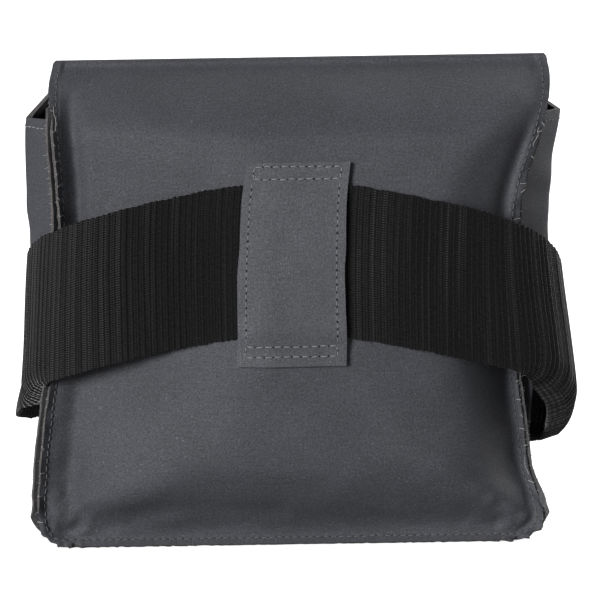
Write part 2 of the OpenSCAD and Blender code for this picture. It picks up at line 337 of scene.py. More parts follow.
class Sheet:
    """The outside of a piece of cloth, its normals and its flat pattern coordinates."""

    def __init__(self, points, facing=None):
        self.points = points
        rows = np.gradient(points, axis=0)
        cols = np.gradient(points, axis=1)
        normals = unit(np.cross(cols, rows))
        away = points - MIDDLE if facing is None else np.asarray(facing, float)
        self.flipped = float((normals * away).sum()) < 0
        self.normals = -normals if self.flipped else normals
        across = np.linalg.norm(np.diff(points, axis=1), axis=2)
        along = np.linalg.norm(np.diff(points, axis=0), axis=2)
        self.u = np.pad(np.cumsum(across, axis=1), ((0, 0), (1, 0)))
        self.u -= self.u[:, -1:] / 2
        self.v = np.pad(np.cumsum(along.mean(axis=1)), (1, 0))
        self.painted_highlight = np.zeros(points.shape[:2])

    def at(self, row, col):
        """Points and normals at fractional rows and columns."""
        top, side = self.points.shape[0] - 1.001, self.points.shape[1] - 1.001
        row, col = np.clip(row, 0, top), np.clip(col, 0, side)
        i, j = row.astype(int), col.astype(int)
        a, b = (row - i)[:, None], (col - j)[:, None]

        def blend(grid):
            lower = mix(grid[i, j], grid[i, j + 1], b)
            return mix(lower, mix(grid[i + 1, j], grid[i + 1, j + 1], b), a)

        return blend(self.points), unit(blend(self.normals))


def grid_faces(rows, cols, base, flip):
    index = base + np.arange(rows * cols).reshape(rows, cols)
    a, b, c, d = index[:-1, :-1], index[:-1, 1:], index[1:, 1:], index[1:, :-1]
    order = (a, d, c, b) if flip else (a, b, c, d)
    return np.stack(order, axis=-1).reshape(-1, 4)


def border(rows, cols):
    """The grid's outer points in order, once round."""
    index = np.arange(rows * cols).reshape(rows, cols)
    return np.concatenate([index[0, :-1], index[:-1, -1], index[-1, :0:-1], index[:0:-1, 0]])


def new_mesh(name, points, faces, kinds, materials):
    mesh = bpy.data.meshes.new(name)
    points[:, 2] = np.maximum(points[:, 2], GROUND)
    mesh.from_pydata((points * MM).tolist(), [], faces)
    for material in materials:
        mesh.materials.append(material)
    mesh.polygons.foreach_set("material_index", np.asarray(kinds, np.int32))
    mesh.polygons.foreach_set("use_smooth", np.ones(len(faces), bool))
    mesh.update()
    piece = bpy.data.objects.new(name, mesh)
    bpy.context.scene.collection.objects.link(piece)
    return piece


def store_cut(mesh, values):
    """Keeps the flat pattern coordinates in millimetres, and as a third number the share of painted
    highlight.
    """
    attribute = mesh.attributes.new("cut", "FLOAT_VECTOR", "POINT")
    attribute.data.foreach_set("vector", values.astype(np.float32).ravel())


def cloth_piece(name, sheet, thickness, materials):
    """A closed mesh: outside, inside and a raw edge, each with its own material."""
    rows, cols = sheet.points.shape[:2]
    count = rows * cols
    thick = np.broadcast_to(np.asarray(thickness, float), (rows, cols))[..., None]
    inner = sheet.points - sheet.normals * thick
    points = np.concatenate([sheet.points.reshape(-1, 3), inner.reshape(-1, 3)])
    outside = grid_faces(rows, cols, 0, sheet.flipped)
    inside = grid_faces(rows, cols, count, not sheet.flipped)
    ring = border(rows, cols)
    after = np.roll(ring, -1)
    rim = np.stack([ring, ring + count, after + count, after], axis=1)
    rim = rim[:, ::-1] if sheet.flipped else rim
    faces = np.concatenate([outside, inside, rim])
    kinds = [0] * len(outside) + [1] * len(inside) + [2] * len(rim)
    piece = new_mesh(name, points, faces.tolist(), kinds, materials)
    mark_rim(piece.data, ring, count)
    v = np.broadcast_to(sheet.v[:, None], (rows, cols))
    flat = np.stack([sheet.u, v, sheet.painted_highlight], axis=-1).reshape(-1, 3)
    store_cut(piece.data, np.concatenate([flat, flat * [1, 1, 0] + [37.0, 11.0, 0.0]]))
    return piece


def mark_rim(mesh, ring, count):
    """Keeps the two corners of the raw edge sharp."""
    edges = np.zeros(len(mesh.edges) * 2, np.int32)
    mesh.edges.foreach_get("vertices", edges)
    edges = edges.reshape(-1, 2)
    on_rim = np.zeros(2 * count, bool)
    on_rim[ring] = True
    on_rim[ring + count] = True
    same_side = (edges[:, 0] < count) == (edges[:, 1] < count)
    sharp = mesh.attributes.new("sharp_edge", "BOOLEAN", "EDGE")
    sharp.data.foreach_set("value", on_rim[edges].all(axis=1) & same_side)


def bundle(name, parts, materials, sides=6):
    """One mesh of many short tubes. A part is (paths, outs, radii, material number)."""
    points, faces, kinds, cut = [], [], [], []
    base = 0
    for paths, outs, radii, kind in parts:
        n, m = paths.shape[:2]
        along = unit(np.gradient(paths, axis=1))
        side = unit(np.cross(along, outs))
        up = np.cross(side, along)
        turn = np.arange(sides) * 2 * math.pi / sides
        ring = side[:, :, None] * np.cos(turn)[:, None] + up[:, :, None] * np.sin(turn)[:, None]
        tube = paths[:, :, None] + ring * np.asarray(radii)[..., None, None]
        points.append(tube.reshape(-1, 3))
        reach = np.broadcast_to(np.arange(m)[None, :, None], (n, m, sides))
        cut.append(np.stack([reach, np.broadcast_to(turn, (n, m, sides)), reach * 0], -1).reshape(-1, 3))
        index = base + np.arange(n * m * sides).reshape(n, m, sides)
        nxt = np.roll(index, -1, axis=2)
        walls = np.stack([index[:, :-1], nxt[:, :-1], nxt[:, 1:], index[:, 1:]], -1).reshape(-1, 4)
        caps = np.concatenate([index[:, 0, ::-1], index[:, -1]])
        faces += walls.tolist() + caps.tolist()
        kinds += [kind] * (len(walls) + len(caps))
        base += n * m * sides
    piece = new_mesh(name, np.concatenate(points), faces, kinds, materials)
    store_cut(piece.data, np.concatenate(cut))
    return piece


# Materials
class Finish:
    """A material under construction, with short ways to add and link nodes."""

    def __init__(self, name, roughness, specular=0.3):
        self.material = bpy.data.materials.new(name)
        self.material.use_nodes = True
        self.tree = self.material.node_tree
        self.surface = self.tree.nodes["Principled BSDF"]
        self.set(self.surface, {"Roughness": roughness, "Specular IOR Level": specular})
        self.cut = self.add("ShaderNodeAttribute", {}, attribute_name="cut").outputs["Vector"]

    def set(self, node, inputs):
        for socket, value in inputs.items():
            if isinstance(value, bpy.types.NodeSocket):
                self.tree.links.new(value, node.inputs[socket])
            else:
                node.inputs[socket].default_value = value

    def add(self, kind, inputs, **settings):
        node = self.tree.nodes.new(kind)
        for key, value in settings.items():
            setattr(node, key, value)
        self.set(node, inputs)
        return node

    def math(self, operation, a, b=0.0):
        return self.add("ShaderNodeMath", {0: a, 1: b}, operation=operation).outputs[0]

    def noise(self, scale, detail=2.0, rough=0.5, stretch=(1, 1, 1)):
        """Noise over the flat pattern. Scale is in waves per millimetre."""
        placed = self.add("ShaderNodeMapping", {"Vector": self.cut, "Scale": stretch})
        inputs = {"Vector": placed.outputs[0], "Scale": scale, "Detail": detail, "Roughness": rough}
        return self.add("ShaderNodeTexNoise", inputs).outputs["Fac"]

    def wave(self, direction, pitch, distortion=0.0):
        """Bands over the flat pattern, one for each pitch in millimetres."""
        inputs = {"Vector": self.cut, "Scale": math.pi / (10 * pitch), "Distortion": distortion}
        inputs["Detail"] = 1.0
        return self.add("ShaderNodeTexWave", inputs, bands_direction=direction).outputs["Fac"]

    def ramp(self, value, stops):
        node = self.add("ShaderNodeValToRGB", {"Fac": value})
        band = node.color_ramp
        while len(band.elements) < len(stops):
            band.elements.new(0.5)
        for element, (place, colour) in zip(band.elements, stops):
            element.position = place
            element.color = (*colour, 1.0)
        return node.outputs["Color"]

    def range(self, value, low, high, to_low=0.0, to_high=1.0):
        inputs = {"Value": value, "From Min": low, "From Max": high}
        inputs.update({"To Min": to_low, "To Max": to_high})
        return self.add("ShaderNodeMapRange", inputs).outputs["Result"]

    def blend(self, share, a, b, mode="MIX"):
        node = self.add("ShaderNodeMix", {}, data_type="RGBA", blend_type=mode)
        self.set(node, {0: share, 6: a, 7: b})
        return node.outputs[2]

    def bump(self, height, distance_mm, strength=1.0):
        inputs = {"Height": height, "Distance": distance_mm * MM, "Strength": strength}
        normal = self.add("ShaderNodeBump", inputs).outputs["Normal"]
        self.set(self.surface, {"Normal": normal})

    def done(self, colour, roughness=None):
        self.set(self.surface, {"Base Color": colour})
        if roughness is not None:
            self.set(self.surface, {"Roughness": roughness})
        return self.material


def shade(colour, share):
    return tuple(c * share for c in colour)


WEAVE_PITCH = 0.55


def coated_cloth(name, colour, fleck=1.0):
    """Matt coated canvas: a heathered grey with a fine plain weave under its coat."""
    f = Finish(name, 0.62, 0.22)
    grain = f.noise(1.5, 3.0, 0.75)
    warp = f.noise(0.8, 2.0, 0.6, (1.0, 0.35, 1.0))
    weft = f.noise(0.8, 2.0, 0.6, (0.35, 1.0, 1.0))
    yarn = f.math("MULTIPLY", f.math("ADD", warp, weft), 0.5)
    mottle = f.math("ADD", f.math("MULTIPLY", grain, 0.75), f.math("MULTIPLY", yarn, 0.25))
    base = f.ramp(mottle, [(0.36, shade(colour, 0.62)), (0.50, colour), (0.64, shade(colour, 1.50))])
    tone_and_highlight = f.range(f.noise(0.035, 3.0, 0.6), 0.35, 0.65, 0.93, 1.07)
    clouds = f.add("ShaderNodeCombineColor", {0: tone_and_highlight, 1: tone_and_highlight, 2: tone_and_highlight}).outputs[0]
    light = f.range(f.noise(1.0, 1.0, 0.5), 0.70, 0.76, 0.0, 0.6 * fleck)
    flecked = f.blend(light, f.blend(1.0, base, clouds, "MULTIPLY"), (*shade(colour, 2.8), 1.0))
    threads = f.math("MULTIPLY", f.wave("X", WEAVE_PITCH, 0.6), f.wave("Y", WEAVE_PITCH, 0.6))
    f.bump(f.math("ADD", f.math("MULTIPLY", threads, 0.5), f.math("MULTIPLY", mottle, 2.2)), 0.09)
    return f.done(flecked, f.range(grain, 0.3, 0.7, 0.72, 0.55))


def raw_edge(name, dark, light):
    """A cut edge, where pale fibres show between the dark coats."""
    f = Finish(name, 0.85, 0.15)
    thread = f.noise(1.4, 3.0, 0.7)
    patch = f.noise(0.16, 2.0, 0.6)
    share = f.math("MULTIPLY", f.range(thread, 0.44, 0.62), f.range(patch, 0.46, 0.66, 0.10, 1.0))
    f.bump(thread, 0.15)
    return f.done(f.blend(share, (*dark, 1.0), (*light, 1.0)))


def woven_elastic(name, dark, light, lustre):
    """Ribbed elastic: fine loops across ribs of uneven lustre, the lustre painted into the colour as
    lighter streaks, with a painted highlight on the raised rib yarns.
    """
    f = Finish(name, 0.7, 0.08)
    f.set(f.surface, {"Sheen Weight": 0.5, "Sheen Roughness": 0.35, "Sheen Tint": (0.6, 0.6, 0.6, 1)})
    loops = f.wave("Y", 0.8, 0.35)
    grain = f.noise(1.1, 3.0, 0.6)
    yarn = f.wave("X", RIB_PITCH / 2, 0.3)
    streak = f.noise(0.42, 2.0, 0.6, (1.0, 0.02, 1.0))
    # Painted highlight: the third cut number lightens the raised rib yarns, standing in for the light
    # that catches them.
    painted_highlight = f.add("ShaderNodeSeparateXYZ", {0: f.cut}).outputs["Z"]
    chain = f.math("MULTIPLY", painted_highlight, f.range(yarn, 0.35, 0.75, 0.15, 1.0))
    share = f.math("ADD", f.math("MULTIPLY", f.range(streak, 0.52, 0.68), lustre), chain)
    lit = f.math("MULTIPLY", share, f.range(loops, 0.45, 0.95))
    ground = f.ramp(grain, [(0.32, dark), (0.70, light)])
    colour = f.blend(f.math("MINIMUM", lit, 1.0), ground, (0.045, 0.045, 0.044, 1.0))
    rough = f.math("MULTIPLY", f.math("ADD", loops, grain), f.range(yarn, 0.0, 1.0, 0.4, 1.0))
    f.bump(rough, 0.26)
    return f.done(colour, f.range(grain, 0.3, 0.7, 0.72, 0.52))


def spun_thread(name, colour):
    f = Finish(name, 0.7, 0.25)
    twist = f.noise(0.9, 2.0, 0.6)
    f.bump(twist, 0.08)
    return f.done(f.ramp(twist, [(0.3, shade(colour, 0.7)), (0.7, shade(colour, 1.2))]))


# Painted shade: near-black colour for the blobs that stand in for the dark of the needle holes.
def needle_hole_shade(name):
    f = Finish(name, 0.9, 0.05)
    return f.done(f.ramp(f.noise(0.8), [(0.3, (0.006, 0.006, 0.007)), (0.7, (0.014, 0.014, 0.015))]))


def plain_floor(name):
    """White to the eye, and greyer to bounced light so that it doesn't light the bag from below."""
    f = Finish(name, 0.8, 0.1)
    level = f.range(f.noise(0.5), 0.3, 0.7, 0.98, 1.0)
    level = f.math("MULTIPLY", level, by_ray(f.tree, 0.93, 0.35))
    f.set(f.surface, {"Emission Color": (1, 1, 1, 1), "Emission Strength": by_ray(f.tree, 0.7, 0.0)})
    return f.done(f.add("ShaderNodeCombineColor", {0: level, 1: level, 2: level}).outputs[0])


GREY = (0.0515, 0.0530, 0.0607)
CLOTH = coated_cloth("coated_cloth", GREY)
# Painted light: the same cloth as the outside, made lighter so that the inner side in the shadowed mouth
# and inside reads as lit.
LIT_INSIDE = coated_cloth("cloth_inside_painted_light", (0.070, 0.070, 0.073), 1.5)
LOOP_CLOTH = coated_cloth("loop_cloth", (0.0655, 0.0675, 0.0755), 1.0)
EDGE = raw_edge("cut_edge", (0.045, 0.044, 0.046), (0.40, 0.37, 0.35))
LOOP_EDGE = raw_edge("loop_cut_edge", (0.075, 0.075, 0.08), (0.20, 0.20, 0.20))
ELASTIC = woven_elastic("woven_elastic", (0.0030, 0.0030, 0.0033), (0.0085, 0.0085, 0.009), 0.6)
# Painted light: the elastic's inner face, far lighter than its outside, so that the inside seen through
# the gap at the ring's ends reads as lit.
LIT_ELASTIC_INSIDE = woven_elastic("elastic_inside_painted_light", (0.045, 0.045, 0.045), (0.090, 0.090, 0.088), 0.3)
ELASTIC_EDGE = woven_elastic("elastic_edge", (0.010, 0.010, 0.010), (0.09, 0.088, 0.085), 0.5)
THREAD = spun_thread("grey_thread", (0.20, 0.20, 0.202))
SEAM_THREAD = spun_thread("slate_thread", (0.105, 0.106, 0.112))
PALE_THREAD = spun_thread("pale_fibre", (0.36, 0.355, 0.35))
HOLE_SHADE = needle_hole_shade("needle_hole_shade")


# Panels
FLANGE_STEPS = np.array([0.0, 0.8, 1.6, 2.3, 3.0])


def row_columns(edge, inner=60):
    """Places across one row: the allowance, then columns that crowd towards the seams."""
    seam = edge - ALLOWANCE
    t = np.linspace(-1, 1, 2 * inner + 1)
    middle = seam * mix(t, np.sin(t * math.pi / 2), 0.55)
    return np.concatenate([FLANGE_STEPS - edge, middle[1:-1], edge - FLANGE_STEPS[::-1]])


def panel_heights(bottom, radius, top, step=1.15):
    """Heights of rows: the allowance, the round corners, then even steps."""
    turn = np.linspace(0, 1, 15) ** 1.15 * math.pi / 2
    low = bottom + radius * (1 - np.cos(turn))
    count = max(int((top - low[-1]) / step), 2)
    return np.concatenate([low[:-1], np.linspace(low[-1], top, count + 1)])


def panel_edge(z, bottom, radius):
    return open_edge(z) - corner_cut(np.maximum(z - bottom, 0), radius)


def panel_plan(heights, bottom, radius):
    """x and z of every grid point of a panel."""
    edges = panel_edge(heights, bottom, radius)
    x = np.stack([row_columns(e) for e in edges])
    return x, np.broadcast_to(heights[:, None], x.shape)


def raw_wave(x, z, seed, size=0.35):
    """How far a cut edge wanders out of its line."""
    at = np.stack([x, z], axis=-1)
    calm_foot = np.where(np.abs(x) < 70, mix(0.3, 1, ease((z - 2) / 6)), 1)
    edge = ease((beyond_seam(x, z) + 0.2) / 3) * calm_foot
    corner = bell(np.hypot(np.abs(x) - 82, z - 4), 12) * (z < 40)
    crumple = 3.4 * corner * wander(at, seed + 9, 7, 2)
    return size * edge * (wander(at, seed, 13, 3) + 0.4 * wander(at, seed + 5, 4, 1) + crumple)


def panel_points(x, z, seed, wave_seed, raised=0.0):
    """The outside of a panel that faces +Y, with its allowances turned out of its plane."""
    over = np.maximum(beyond_seam(x, z), 0)
    dx, dz = outward(x, z)
    turn = flare(x, z) if seed == BACK else FRONT_TURN
    back = over * (1 - np.cos(turn)) + 0.5 * raw_wave(x, z, wave_seed + 10)
    y = face(x, z + raised, seed) * (over <= 0) + seam_y(z + raised) * (over > 0)
    y = y + over * np.sin(turn) + raw_wave(x, z, wave_seed, 0.45)
    high = z - dz * back + raised + 0.1 * ease((ALLOWANCE - z) / ALLOWANCE)
    return np.stack([x - dx * back, y, np.maximum(high, LOWEST)], axis=-1)


def flap_lie(x, z):
    """Distance of the flap's outside from mid depth: over the front and inside the elastic."""
    inside = np.maximum(-beyond_seam(x, z), 0)
    body = seam_y(z) + FRONT_SWELL * dome(x, z) + drape(x, z, FRONT) * ease(inside / 3)
    limp = 0.5 + 0.5 * wander(np.stack([x, z], -1), 45, 34, 2)
    lie = body + FLAP_OFF * ease((FOLD_Z - z) / 8) + limp * ease((FOLD_Z - z) / 30)
    wrapped = ring_depth(x) - BAND_T - 0.35 + 12 * ease((z - 84) / 24) + 12 * ease((26 - z) / 10)
    return smooth_min(lie, wrapped, 1.0)


def shell_sheet():
    """Back panel, top fold and flap in one piece of cloth."""
    back_z = panel_heights(0.0, CORNER_R, FOLD_Z)
    flap_z = panel_heights(FLAP_END_Z, FLAP_CORNER_R, FOLD_Z, 1.25)[::-1]
    bx, bz = panel_plan(back_z, 0.0, CORNER_R)
    fx, fz = panel_plan(flap_z, FLAP_END_Z, FLAP_CORNER_R)
    back = panel_points(bx, bz, BACK, 21) * [1, -1, 1]
    front = np.stack([fx, flap_lie(fx, fz), fz], axis=-1)
    front[..., 0] += 0.3 * wander(np.stack([fx, fz], -1), 61, 14, 2) * ease((np.abs(fx) - 60) / 20)
    turns = np.linspace(0, math.pi, 13)[1:-1]
    fold = []
    for turn in turns:
        share = turn / math.pi
        row = mix(back[-1], front[0], share)
        row[:, 1] = -np.cos(turn) * mix(-back[-1, :, 1], front[0, :, 1], share)
        row[:, 0] *= 1 - 0.013 * np.sin(turn) ** 3
        row[:, 2] = FOLD_Z + FOLD_R * np.sin(turn)
        fold.append(row)
    points = np.concatenate([back, np.array(fold), front])
    sheet = Sheet(settle(points))
    sheet.plan_z = np.concatenate([back_z, FOLD_Z + turns, 2 * FOLD_Z + math.pi - flap_z])
    sheet.plan_x = np.concatenate([bx, np.repeat(bx[-1:], len(turns), 0), fx])
    return sheet


def front_sheet():
    heights = panel_heights(0.0, CORNER_R, MOUTH_Z)
    x, z = panel_plan(heights, 0.0, CORNER_R)
    raised = mouth_raise(x) * ease((z - RISE_FROM_Z) / (MOUTH_Z - RISE_FROM_Z))
    sheet = Sheet(settle(panel_points(x, z, FRONT, 71, raised)))
    sheet.plan_z = heights
    sheet.plan_x = x
    return sheet


def mouth_raise(x):
    """How far the front panel's top edge stands above the gussets' near corners."""
    return mix(mix(1.0, RAISE_LEFT, ease(-x / 78)), RAISE_RIGHT, ease(x / 78))


def trace(sheet, x, z):
    """Points and normals on a panel at plan places x, z."""
    row = np.interp(z, sheet.plan_z, np.arange(len(sheet.plan_z)))
    col = np.array([
        np.interp(px, sheet.plan_x[int(round(r))], np.arange(sheet.plan_x.shape[1]))
        for px, r in zip(x, row)
    ])
    return sheet.at(row, col)


# Gusset: one strip down the left side, under the bag and up the right side
RIDGE_TOP_LEFT = 91.0
RIDGE_TOP_RIGHT = 88.6
RIDGE_WAIST = 87.2


def ridge_x(x, z):
    lower = RIDGE_WAIST + 1.4 * (x > 0) - 3.5 * ease((WAIST_Z - z) / WAIST_Z)
    top = np.where(x < 0, RIDGE_TOP_LEFT, RIDGE_TOP_RIGHT)
    return mix(lower, top, ease((z - WAIST_Z) / (MOUTH_Z - WAIST_Z)))


def strip_places():
    """x, z and outward turn along the seam, from the top left to the top right."""
    side_z = np.linspace(MOUTH_Z, CORNER_R, 96)
    r = CORNER_R - ALLOWANCE
    turn = np.linspace(0, math.pi / 2, 13)[1:-1]
    x = np.concatenate([open_edge(side_z) - ALLOWANCE, CORNER_X + r * np.cos(turn)])
    z = np.concatenate([side_z, CORNER_R - r * np.sin(turn)])
    way = np.concatenate([np.zeros(len(side_z)), -turn])
    under = np.linspace(-CORNER_X, CORNER_X, 84)
    left = np.stack([-x, z, math.pi - way], axis=-1)
    bottom = np.stack([under, np.full(84, ALLOWANCE), np.full(84, 1.5 * math.pi)], axis=-1)
    right = np.stack([x, z, 2 * math.pi + way], axis=-1)[::-1]
    return np.concatenate([left, bottom, right])


FLANGE_IN = 2 * CLOTH_T + SEAM_GAP


def gusset_sheet():
    """The strip itself, folded outwards along its middle, and its two seam allowances."""
    places = strip_places()
    t = np.sin(np.linspace(-1, 1, 41) * math.pi / 2 * 0.86) / math.sin(math.pi / 2 * 0.86)
    x0, z0, way = (places[:, k][:, None] for k in range(3))
    side = np.sign(x0)
    far = np.maximum(t, 0) ** 1.2
    near_top = ease((z0 - RISE_FROM_Z) / (MOUTH_Z - RISE_FROM_Z))
    raise_z = np.where(side < 0, RAISE_LEFT, RAISE_RIGHT) * far * near_top
    raise_z = raise_z + 4.0 * ease((-t - 0.62) / 0.38) * ease((z0 - 134) / 10)
    out = ridge_x(x0, z0) - np.abs(x0)
    out = out + 4.5 * (side > 0) * ease((z0 - 14) / 16) * ease((80 - z0) / 30)
    share = ease((z0 - CORNER_R) / 60)
    foot = ALLOWANCE * np.minimum(1, (1 - np.abs(t)) / 0.38)
    rise = mix(foot, out * (1 - np.abs(t) ** 1.22), share)
    z = z0 + raise_z
    y = (seam_y(z) - FLANGE_IN) * t
    along = np.stack([z0 + 0 * t, 19 * t + 50 * side], axis=-1)
    rise = rise + 0.6 * wander(along, 81, 44, 3) * (1 - t**2) * share
    strip = np.stack([x0 + np.cos(way) * rise, y + 0 * x0, z + np.sin(way) * rise], axis=-1)
    back_turn = flare(x0, z0) - np.radians(4) * ease((z0 - 5) / 12)
    near = gusset_flange(places, raise_z[:, :1], back_turn, 91)[:, ::-1] * [1, -1, 1]
    far_flange = gusset_flange(places, raise_z[:, -1:], FRONT_TURN + 0 * z0, 95)
    points = np.concatenate([near, strip, far_flange], axis=1)
    points[..., 2] = np.maximum(points[..., 2], LOWEST)
    sheet = Sheet(settle(points))
    sheet.flange_cols = near.shape[1]
    return sheet


def gusset_flange(places, raise_z, turn, seed):
    """The strip's allowance, beyond and behind the panel's, crumpled at the corners."""
    x0, z0, way = (places[:, k][:, None] for k in range(3))
    steps = np.array([0.0, 0.3, 0.55, 0.8, 1.0])
    length = mix(0.5, ALLOWANCE + 1.5, ease((z0 - 3) / 8))
    at = np.stack([z0 + np.abs(way - 1.5 * math.pi) * 14 + 0 * steps, x0 * 0.6 + 0 * steps], -1)
    corner = bell(z0 - 10, 7) * (np.abs(x0) > 66)
    wave = wander(at, seed, 9, 2) * mix(0.18, 1.5, corner) * steps
    reach = length * steps
    out = FLANGE_IN * np.sin(turn) + reach * np.cos(turn) - wave * np.sin(turn)
    y = seam_y(z0 + raise_z) - FLANGE_IN * np.cos(turn) + reach * np.sin(turn) + wave * np.cos(turn)
    return np.stack([x0 + np.cos(way) * out, y, z0 + raise_z + np.sin(way) * out], axis=-1)


# Belt loop and elastic
SEWN_OFF = 0.1
SEWN_H = 4.4
RISE_H = 8.5


def loop_off(z):
    """How far the loop stands off the back: sewn down at both ends, over the elastic between."""
    d = LOOP_HALF_H - np.abs(z - LOOP_Z)
    return mix(SEWN_OFF, BAND_T + 2 * LIE_GAP, ease((d - SEWN_H) / RISE_H))


def loop_sheet(off, seed):
    z = np.linspace(LOOP_LOW[2], LOOP_HIGH[2], 96)
    x = np.linspace(-LOOP_HALF_W, LOOP_HALF_W, 45)
    x, z = np.meshgrid(x, z)
    at = np.stack([x, z], -1)
    sag = 0.12 * wander(at, seed, 17, 2)
    edge = ease((np.abs(x) - LOOP_HALF_W + 3) / 3)
    curl = 0.22 * edge * (1 + wander(at, seed + 1, 20, 2))
    y = -face(x, z, 1) - loop_off(z) - off - sag - curl
    side = x + 0.25 * wander(at[..., 1:], seed + 2, 30, 2) * edge
    skew = np.where(x < 0, 0.030, -0.004) * np.abs(x) / LOOP_HALF_W * (z - LOOP_Z)
    return Sheet(lean(np.stack([side + skew + 1.5, y, z], axis=-1)), (0, -1, 0))


def ring_depth(x):
    """Distance of the elastic ring from mid depth."""
    share = np.clip(np.abs(x) / RING_HALF_W, 0, 1)
    return RING_HALF_D * (1 - share**RING_POWER) ** (1 / RING_POWER)


def back_fall(x):
    """Share of the way from the loop's side to the ring's end."""
    return np.maximum(np.abs(x) - LOOP_HALF_W, 0) / (RING_HALF_W - LOOP_HALF_W)


def ring_line(count):
    """x, y and height of the band's middle at even steps once round, from mid back."""
    turn = np.linspace(-math.pi / 2, 1.5 * math.pi, 4001)
    power = 2 / RING_POWER
    x = RING_HALF_W * np.sign(np.cos(turn)) * np.abs(np.cos(turn)) ** power
    y = RING_HALF_D * np.sign(np.sin(turn)) * np.abs(np.sin(turn)) ** power
    length = np.concatenate([[0], np.cumsum(np.hypot(np.diff(x), np.diff(y)))])
    even = np.linspace(0, length[-1], count)
    x, y = np.interp(even, length, x), np.interp(even, length, y)
    behind = np.where(y < 0, back_fall(x) ** 1.15, 1)
    wrap = ease((y + RING_HALF_D) / (1.6 * RING_HALF_D))
    at_side = np.where(x < 0, SIDE_DROP_LEFT, SIDE_DROP_RIGHT)
    drop = at_side * behind + (FRONT_DROP + FRONT_TILT * x / RING_HALF_W - at_side) * wrap
    return np.where(x < 0, LEFT_SQUEEZE, 1.0) * x, y, LOOP_Z + 1 - drop, even


def end_curl(x, y, height):
    """How far the band's lower edge turns in at its right end, and stands out at its left."""
    right = -corner_cut(np.minimum(height, 11), 11) * ease((x - 72) / 20)
    near_left = corner_cut(np.minimum(height, 8), 8) * ease((-x - 78) / 14) * ease(-y / 10)
    far_left = -3.5 * ease((20 - height) / 20) * ease((-x - 66) / 22) * ease((y + 4) / 14)
    return right + near_left + far_left


def band_sheet():
    """The elastic ring, ribbed across its width, with serrated edges."""
    x, y, z, even = ring_line(1061)
    rows = np.linspace(-1, 1, 27)[:, None]
    seed_line = np.stack([even, 0 * even], -1)
    teeth = 0.18 * np.sin(2 * math.pi * even / RIB_PITCH) + 0.25 * wander(seed_line, 101, 9, 2)
    half = BAND_HALF + teeth - 0.3
    zz = z + rows * half
    along = np.gradient(np.stack([x, y], -1), axis=0)
    out = unit(np.stack([along[:, 1], -along[:, 0]], -1))
    rib = np.sin(2 * math.pi * even / RIB_PITCH + 0.5 * wander(seed_line, 103, 12, 2))
    depth = 0.15 + 0.09 * wander(seed_line, 105, 7, 1)
    at = np.stack([even + 0 * rows, 25 * rows + 0 * even], -1)
    swell = rib * depth * (1 - 0.3 * rows**8) + 0.25 * wander(at, 107, 55, 2)
    xx = x + out[:, 0] * swell
    yy = y + out[:, 1] * swell
    lying = -face(x + 0 * rows, zz, 1) - LIE_GAP - BAND_T - rib * depth + drawn_back(x, zz)
    free = ease((np.abs(x) - LOOP_HALF_W) / (75 - LOOP_HALF_W))
    yy = np.where(y < 0, mix(lying, yy - BAND_T / 2, free), yy)
    splay = np.where(x < 0, 0.07, 0.12) * (z - zz) * ease((np.abs(x) - 55) / 35) * np.sign(x)
    splay = splay + end_curl(x, y, (rows + 1) * half)
    sheet = Sheet(lean(np.stack([xx + splay + 1.0, yy, zz], axis=-1)))
    sheet.u = np.broadcast_to(even - even[-1] / 2, xx.shape)
    # Painted highlight on the elastic's outer face: strongest at the left end, where the ribs face the
    # light, and at both ends of the ring, seen at a glancing angle; weaker right of the loop.
    tone_and_highlight = 2.2 * bell(x + 69, 14) + 0.7 * bell(x - 27, 9) + 0.8 * bell(np.abs(x) - 92, 5)
    sheet.painted_highlight = (y < 0) * tone_and_highlight * (0.6 + 0.4 * wander(seed_line, 109, 5, 2)) + 0 * rows
    return sheet


# Stitches and loose fibres
def even_line(points, normals, pitch):
    """A sampler of the line by length, how many whole pitches it holds, and their exact length."""
    length = np.concatenate([[0], np.cumsum(np.linalg.norm(np.diff(points, axis=0), axis=1))])
    count = max(int(round(length[-1] / pitch)), 1)

    def sample(s):
        place = np.stack([np.interp(s, length, points[:, k]) for k in range(3)], -1)
        up = np.stack([np.interp(s, length, normals[:, k]) for k in range(3)], -1)
        return place, unit(up)

    return sample, count, length[-1] / count


def stitches(line, seed, thick=0.26, fill=0.82, lift=0.18, pitch=STITCH_PITCH, hole=0.26):
    """Single stitches along a line on the cloth, with a dark blob between them that paints the needle
    hole's shade.
    """
    sample, count, pitch = even_line(*line, pitch)
    rng = np.random.default_rng(seed)
    t = np.linspace(0, 1, 7)
    span = pitch * fill * rng.uniform(0.88, 1.06, count)
    start = np.arange(count) * pitch + (pitch - span) / 2
    s = start[:, None] + span[:, None] * t
    place, up = sample(s.ravel())
    place, up = place.reshape(count, 7, 3), up.reshape(count, 7, 3)
    along = unit(np.gradient(place, axis=1))
    side = np.cross(along, up)
    skew = rng.normal(0, 0.10, (count, 1)) + rng.normal(0, 0.10, (count, 1)) * (t - 0.5)
    arch = np.sin(math.pi * t) ** 0.55 * (lift + 0.14) - 0.14
    paths = place + up * arch[None, :, None] + side * skew[..., None]
    radii = thick * (0.55 + 0.45 * np.sin(math.pi * t) ** 0.5) * rng.uniform(0.9, 1.1, (count, 1))
    parts = [(paths, up, radii, 0)]
    # Painted shade: dark blobs sunk into the cloth between the stitches, where the needle holes are.
    if hole:
        centre, out = sample(np.arange(1, count) * pitch)
        deep = np.array([-0.22, 0.035, 0.05])
        holes = centre[:, None] + out[:, None] * deep[None, :, None]
        sideways = np.cross(out, [0.3, 0.5, 0.81])[:, None] + np.zeros((1, 3, 1))
        radii = np.array([1.0, 1.0, 0.55]) * hole * rng.uniform(0.8, 1.15, (count - 1, 1))
        parts.append((holes, sideways, radii, 1))
    return parts


